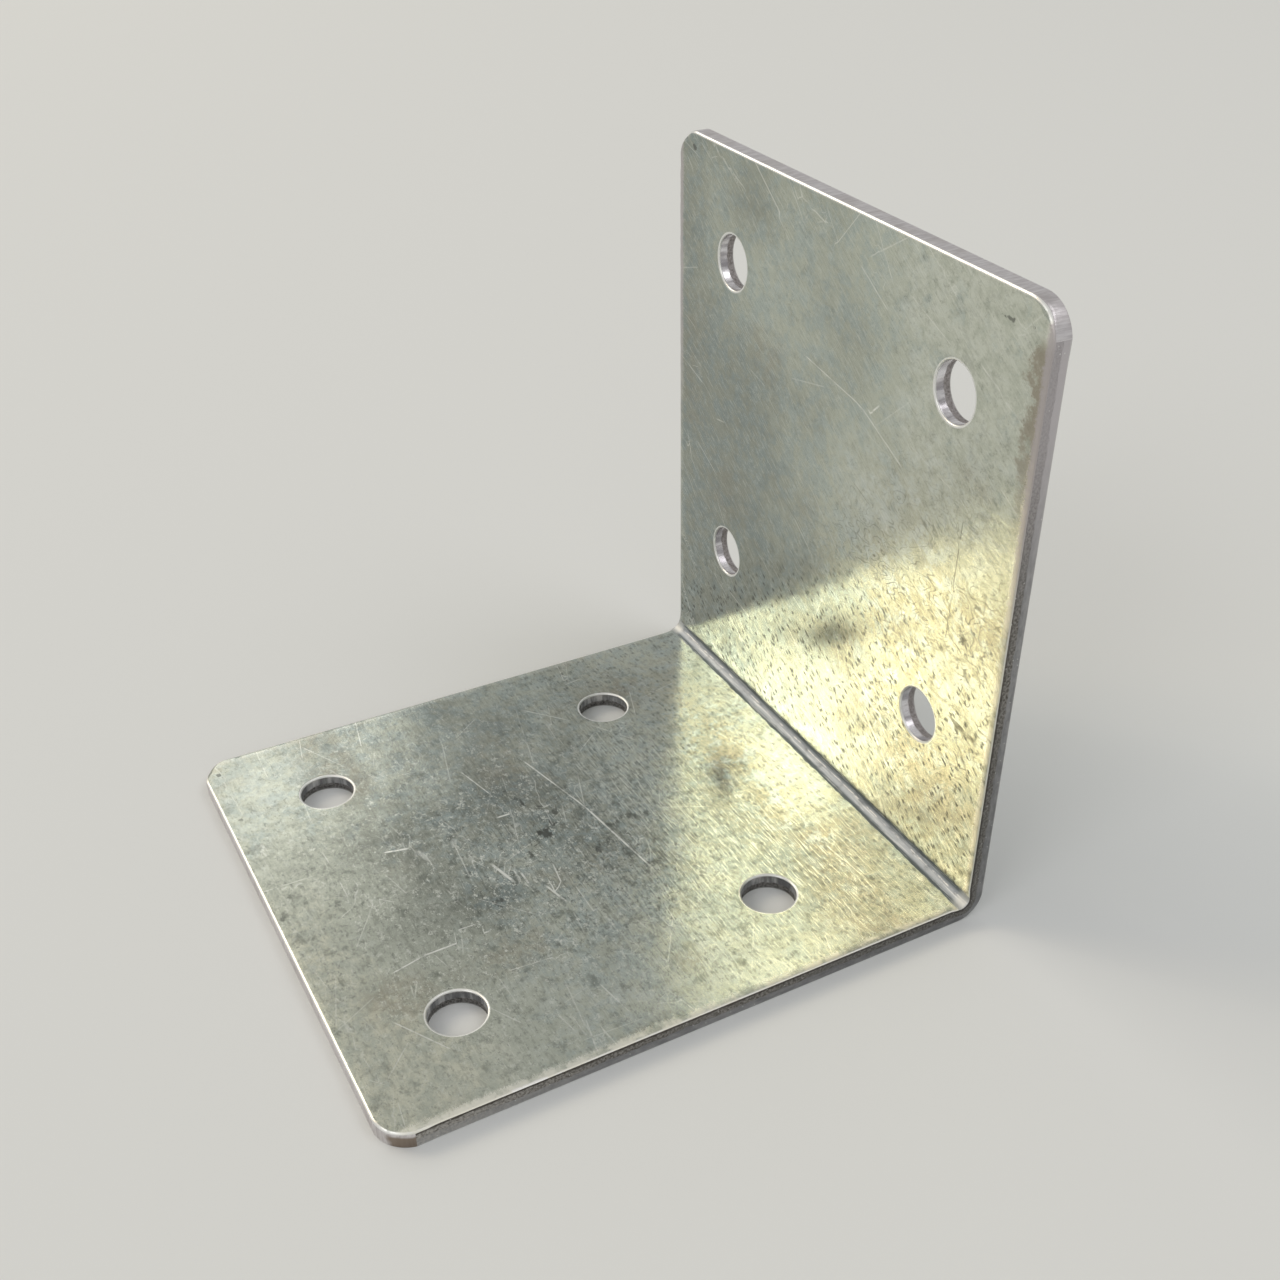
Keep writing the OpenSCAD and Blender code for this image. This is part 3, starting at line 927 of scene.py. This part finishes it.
class ZincFace(Finish):
    """Zinc coated sheet: cloudy grey, with grain, pits, light specks, scratches, painted highlights on its
    edges, and painted light and shade round the bend.
    """

    def __init__(self):
        super().__init__("zinc_face")
        self.place = self.attribute("strip_place")
        self.rolled = self.attribute("grain_place")
        self.u, self.s, self.w = self.split(self.place)
        self.light, self.lively, self.brown = self.split(self.attribute("zinc_tone_and_painted_light"))
        self.streaks, self.speckled, self.arcs = self.split(self.attribute("wear_zone"))
        self.soiled, self.warm, self.yellow = self.split(self.attribute("soil_and_warm_reflection_zone"))
        self.inner = self.w.span(1.2, 1.8)
        self.from_middle = self.s - BEND_MIDDLE
        self.from_fold = abs(self.from_middle)
        self.crystals = self.noise(self.place, 3.4, 6, 0.7, "Color")
        self.clouds = self.channels(self.crystals)
        flecks = self.noise(self.lay(self.place, (1.25, 1, 1)), 0.85, 4, 0.82, "Color")
        self.flecks = self.channels(flecks)
        self.grain = self.noise(self.lay(self.rolled, (12, 1, 1)), 0.30, 3, 0.7)
        self.peel = self.noise(self.lay(self.rolled, (2.0, 1, 1)), 0.9, 2, 0.6)
        self.lay_clouds()
        self.lay_grain()
        self.lay_pits()
        self.lay_scratches()
        self.lay_edges()
        self.lay_groove()
        rough = self.tone.span(0.1, 0.9, 0.14, 0.20)
        rough = rough + self.margin * 0.14 + self.brown * 0.08 + self.rim * 0.2
        rough = self.mix(self.groove, rough, 0.58, "FLOAT")
        wave = self.noise(self.place, 5.0, 1)
        height = self.grain * (self.streaks + 0.2) * 0.012 + self.peel * 0.016 + wave * 0.06
        self.surface(0.95, rough, height)

    def lay_clouds(self):
        """Clouds between dark and light zinc, warm or cool, with polished patches, films and crystals."""
        first, second, third = self.clouds
        fleck = self.flecks[0]
        tint = self.flecks[2]
        contrast = self.lively.span(0.15, 0.6, 0.35, 0.95)
        self.tone = self.light + (third - 0.5) * contrast
        cool = (second - self.warm * 0.3).span(0.42, 0.6)
        light_zinc = self.mix(cool, WARM_ZINC, COOL_ZINC)
        dark_zinc = self.mix(cool, DARK_WARM_ZINC, DARK_COOL_ZINC)
        self.metal = self.mix(self.tone.span(0.2, 0.95), dark_zinc, light_zinc)
        polished = self.tone.span(0.9, 1.4) * third.span(0.36, 0.62)
        self.coat(polished * 0.6, self.mix(self.warm, POLISHED_ZINC, POLISHED_WARM_ZINC))
        self.coat(self.brown * first.span(0.36, 0.6) * 0.75, BROWN_FILM)
        self.coat(third.span(0.52, 0.55) * self.lively * (1.0 - self.warm) * 0.45, BLUE_FILM)
        self.coat(first.span(0.47, 0.33) * self.lively * 0.85, DARK_CRYSTAL)
        self.coat(first.span(0.54, 0.68) * self.lively * 0.6, LIGHT_CRYSTAL)
        # Partly painted warm reflection: on the base leg the golden film lies where the lamps' warm
        # reflection falls near the bend.
        self.coat(self.yellow * (third + tint * 0.3).span(0.71, 0.63) * 0.45, GOLDEN_FILM_AND_WARM_REFLECTION)
        self.coat(self.yellow * (third + fleck * 0.3).span(0.68, 0.76) * 0.45, CLEANED_ZINC)

    def lay_grain(self):
        """The dimpled skin and the light and dark streaks of the rolling grain."""
        self.coat(self.peel.span(0.5, 0.28) * self.lively * 0.55, DARK_PEEL)
        self.coat(self.grain.span(0.54, 0.62) * self.streaks * 0.75, BRIGHT_GRAIN)
        self.coat(self.grain.span(0.46, 0.36) * self.soiled, SOOT)

    def lay_pits(self):
        """Short dents and pits round the bend, fine arcs, light specks, soot, and the placed dark marks."""
        first, second = self.clouds[:2]
        fleck, spot = self.flecks[:2]
        ragged = self.shake(self.rolled, self.crystals, 1.3)
        dash = self.spots(self.lay(ragged, (2.4, 1, 1)), 1.0, 0.31, 0.42)
        pit = self.spots(self.lay(ragged, (1.4, 1, 1)), 1.7, 0.40, 0.36)
        dents = dash.greater(pit) * second.span(0.37, 0.50, 0.25, 1.0)
        climb = self.from_middle - self.u * 0.55
        dents = dents * climb.span(50, 30, 0.1, 1.0) * self.from_fold.span(62, 30, 0.12, 1.0)
        dents = dents * self.from_middle.span(-2, 2, 0.45, 1.0) * self.w.span(1.2, 1.8, 0.12, 1.0)
        self.coat(dents * 0.92, DENT)
        contours = self.noise(self.lay(self.rolled, (2.4, 1, 1), 30), 3.2, 1) * 13.0
        from_contour = abs(self.math("FRACT", contours) - 0.5)
        self.coat(from_contour.span(0.13, 0.03) * second.span(0.42, 0.54) * self.arcs * 0.75, FINE_ARC)
        specks = fleck.span(0.54, 0.62) * second.span(0.38, 0.55, 0.35, 1.0) * self.speckled
        self.coat(specks * 0.8, LIGHT_SPECK)
        self.coat(spot.span(0.45, 0.37) * self.lively * 0.75, SOOT)
        mark_u, mark_s, strength = self.split(self.attribute("dark_mark"))
        reach = self.math("SQRT", mark_u * mark_u + mark_s * mark_s)
        reach = reach + (self.peel - 0.5) * 4.0 + first * 2.0 - 0.8
        self.coat(reach.span(1.0, 0.6) * strength * 0.85, DARK_MARK)

    def scratch_line(self, name):
        """The line that a scratch field draws: full within its half width, thinning out at both ends."""
        across, past, strength = self.split(self.attribute(name))
        return abs(across).span(1.7, 0.7) * past.span(0.1, -1.0) * strength

    def lay_scratches(self):
        """Dark scored lines, then the light scratches, both fainter in some clouds."""
        first = self.clouds[0]
        self.coat(self.scratch_line("scored_line") * first.span(0.36, 0.55, 0.5, 1.0), SCORED)
        scratch = self.scratch_line("long_scratch") * 1.5
        scratch = scratch.greater(self.scratch_line("fine_scratch"))
        scratch = scratch.greater(self.scratch_line("near_scratch"))
        self.coat(scratch * first.span(0.36, 0.55, 0.5, 1.2), SCRATCHED)

    def lay_edges(self):
        """A painted highlight along the rolled rims of the outline and the holes, the frayed pale margin of
        the sides, a brown stain high up, and one bare nick.
        """
        first = self.clouds[0]
        fleck, spot = self.flecks[:2]
        # Painted highlight: near-white on the rolled edges of the outline and of the hole mouths.
        self.rim = self.attribute("edge_gap", "Fac").span(0.5, 0.28)
        self.coat(self.rim * 0.85, PAINTED_RIM_HIGHLIGHT)
        frayed = abs(self.u) + (fleck - 0.5) * 2.2
        margin = frayed.span(HALF_WIDTH - 2.2, HALF_WIDTH - 0.7) * self.inner
        self.margin = margin * self.u.span(-10, 10, 0.2, 1.0)
        self.coat(self.margin * first.span(0.4, 0.56, 0.2, 1.0), RUBBED_MARGIN)
        blotched = self.u + first * 12.0 + spot * 5.0
        stained = blotched.span(HALF_WIDTH + 3.9, HALF_WIDTH + 6.4) * self.inner * 0.8
        stained = stained * self.s.span(STRIP_LENGTH - 45, STRIP_LENGTH - 14)
        self.coat(stained * self.s.span(STRIP_LENGTH - 4, STRIP_LENGTH - 7), MARGIN_STAIN)
        high = self.s.span(BASE_FLAT + 45, STRIP_LENGTH - 28)
        lilac = frayed.span(HALF_WIDTH - 1.7, HALF_WIDTH - 0.9) * high * self.inner
        self.coat(lilac * 0.85, LILAC_MARGIN)
        nick = (self.u + self.peel * 0.6).span(HALF_WIDTH - 0.35, HALF_WIDTH - 0.1) * self.inner
        self.coat(nick * abs(self.s - NICK_PLACE).span(3.1, 2.6), BARE_STEEL_AND_HIGHLIGHT)

    def lay_groove(self):
        """The pressed groove of the bend: painted shade darkening its sides, a rubbed middle, a painted
        highlight as a broken bright line along it, and pale ends.
        """
        first, second, third = self.clouds
        uneven = self.from_fold + (first - 0.5) * 1.0
        self.groove = uneven.span(BEND_LENGTH / 2 + 0.3, BEND_LENGTH / 2) * self.inner
        rubbed = self.noise(self.lay(self.place, (14, 1, 1)), 0.55, 4, 0.7)
        # Painted shade: the groove's sides darker than its middle.
        pressed = self.mix(self.from_fold.span(2.1, 1.1), GROOVE_SIDE_SHADE, GROOVE_MIDDLE)
        pressed = self.mix(rubbed.span(0.52, 0.62) * 0.8, pressed, GROOVE_RUBBED)
        pressed = self.mix(first.span(0.46, 0.36) * 0.5, pressed, GROOVE_DARK)
        # Painted highlight: a broken bright line along the groove.
        wander = self.s + (second - 0.5) * 1.1
        from_line = abs(wander - (BASE_FLAT + 0.6 * BEND_LENGTH))
        ridge_highlight = from_line.span(0.30, 0.10) * third.span(0.46, 0.54)
        pressed = self.mix(ridge_highlight * 0.8, pressed, BARE_STEEL_AND_HIGHLIGHT)
        ear = abs(self.u).span(HALF_WIDTH - 3.0, HALF_WIDTH - 1.2)
        pressed = self.mix(ear * 0.75, pressed, GROOVE_END)
        self.coat(self.groove, pressed)


def slit_wall():
    """The sheared side: a torn brownish band by the inner face, a smoother grey band by the outer face, and
    painted shade darker towards the bend.
    """
    wall = Finish("slit_wall")
    s, w = wall.split(wall.attribute("strip_place"))[1:]
    flat = wall.outputs("CombineXYZ", (s, w, 0.0))[0]
    ragged = wall.noise(wall.lay(flat, (2.5, 1, 1)), 0.9, 4, 0.65)
    torn = (w + ragged * 1.2).span(1.95, 2.25)
    crumbs = wall.noise(flat, 0.45, 5, 0.7)
    stain = wall.noise(flat, 9, 3)
    smooth_band = wall.mix(ragged.span(0.3, 0.7), (0.24, 0.24, 0.245, 1), (0.38, 0.375, 0.38, 1))
    torn_band = wall.mix(crumbs.span(0.40, 0.60), (0.13, 0.12, 0.105, 1), (0.36, 0.345, 0.325, 1))
    torn_band = wall.mix(stain.span(0.45, 0.7) * 0.4, torn_band, (0.26, 0.255, 0.25, 1))
    wall.metal = wall.mix(torn, smooth_band, torn_band)
    under_lip = (w + ragged * 0.7).span(2.72, 2.95)
    low = s.span(STRIP_LENGTH - 20, BASE_FLAT + 30)
    wall.coat(under_lip * low * 0.75, (0.07, 0.06, 0.05, 1))
    pale_end = s.span(40, 3) * (1.0 - under_lip)
    wall.coat(pale_end * crumbs.span(0.38, 0.6, 0.25, 0.85), (0.56, 0.54, 0.51, 1))
    upper = s.span(BASE_FLAT + 55, STRIP_LENGTH - 12)
    wall.coat(upper * wall.mix(torn, 0.9, 0.75, "FLOAT"), (0.58, 0.55, 0.57, 1))
    edge = w.span(0.38, 0.2)
    wall.coat(edge * 0.6, (0.62, 0.62, 0.61, 1))
    wall.coat(wall.spots(flat, 1.1, 0.13, 0.12) * 0.8, (0.85, 0.85, 0.83, 1))
    # Painted shade: the sheared side darker towards the bend.
    from_fold = abs(s - BEND_MIDDLE)
    wall.coat(from_fold.span(50, 15) * (1.0 - edge) * 0.3, (0.07, 0.075, 0.075, 1))
    drag = wall.noise(wall.lay(flat, (1, 8, 1)), 0.3, 3)
    return wall.surface(0.9, torn.span(0.0, 1.0, 0.36, 0.6), crumbs * torn * 0.14 + drag * 0.02)


def cropped_wall():
    """The cropped end: pale and smooth, dragged across by the tool, with a brown stain at one corner."""
    wall = Finish("cropped_wall")
    place = wall.attribute("strip_place")
    u, s, w = wall.split(place)
    drag = wall.noise(wall.lay(place, (1, 1, 9)), 0.4, 3, 0.6)
    clouds = wall.noise(place, 5, 3)
    wall.metal = wall.mix(drag.span(0.3, 0.7), (0.56, 0.53, 0.545, 1), (0.78, 0.755, 0.77, 1))
    wall.coat(clouds.span(0.45, 0.65) * 0.3, (0.42, 0.395, 0.38, 1))
    patch = wall.noise(place, 2.2, 4)
    near_side = (u + patch * 3.0).span(HALF_WIDTH - 1.8, HALF_WIDTH) * s.span(12, 8)
    wall.coat(near_side * (w + patch).span(2.9, 2.3) * 0.85, (0.21, 0.155, 0.105, 1))
    return wall.surface(0.92, clouds.span(0.3, 0.7, 0.3, 0.42), drag * 0.03 + patch * 0.05)


def punched_wall():
    """The wall of a hole: a bright sheared land under the mouth and a dull torn band under that, painted
    dark in the base leg's holes as shade and pale in the upright leg's holes as light.
    """
    wall = Finish("punched_wall")
    place = wall.attribute("strip_place")
    s, w = wall.split(place)[1:]
    ragged = wall.noise(wall.lay(place, (1, 1, 0.5)), 1.3, 4, 0.6)
    land_end = STEEL - HOLE_LAND
    torn = (w + ragged * 0.7).span(land_end + 0.5, land_end + 0.25)
    drag = wall.noise(wall.lay(place, (1, 1, 6)), 1.5, 5, 0.6)
    crumbs = wall.noise(place, 0.4, 5, 0.7)
    # Lit and shaded copies: the upright leg's holes get pale colours as painted light, the base leg's holes
    # dark colours as painted shade.
    upright = s.span(BASE_FLAT, BASE_FLAT + BEND_LENGTH)
    shaded_land = wall.mix(drag.span(0.38, 0.66), (0.17, 0.17, 0.175, 1), (0.58, 0.575, 0.57, 1))
    lit_land = wall.mix(drag.span(0.35, 0.65), (0.42, 0.40, 0.42, 1), (0.88, 0.86, 0.88, 1))
    land = wall.mix(upright, shaded_land, lit_land)
    shaded_band = wall.mix(crumbs.span(0.35, 0.65), (0.09, 0.085, 0.08, 1), (0.32, 0.31, 0.30, 1))
    lit_band = wall.mix(crumbs.span(0.35, 0.65), (0.24, 0.22, 0.21, 1), (0.46, 0.43, 0.43, 1))
    band = wall.mix(upright, shaded_band, lit_band)
    wall.metal = wall.mix(torn, land, band)
    wall.coat(w.span(0.3, 0.1) * 0.6, (0.6, 0.6, 0.59, 1))
    return wall.surface(0.92, torn.span(0.0, 1.0, 0.24, 0.55), drag * 0.03 + crumbs * torn * 0.12)


add_camera()
add_world()
for lamp in LAMPS:
    add_softbox(*lamp)
add_floor()

strip = build_strip()
for material in (ZincFace().material, slit_wall(), cropped_wall(), punched_wall()):
    strip.data.materials.append(material)
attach(strip, "root")
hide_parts("bracket")

bpy.context.scene.view_settings.view_transform = "Standard"
bpy.context.view_layer.update()
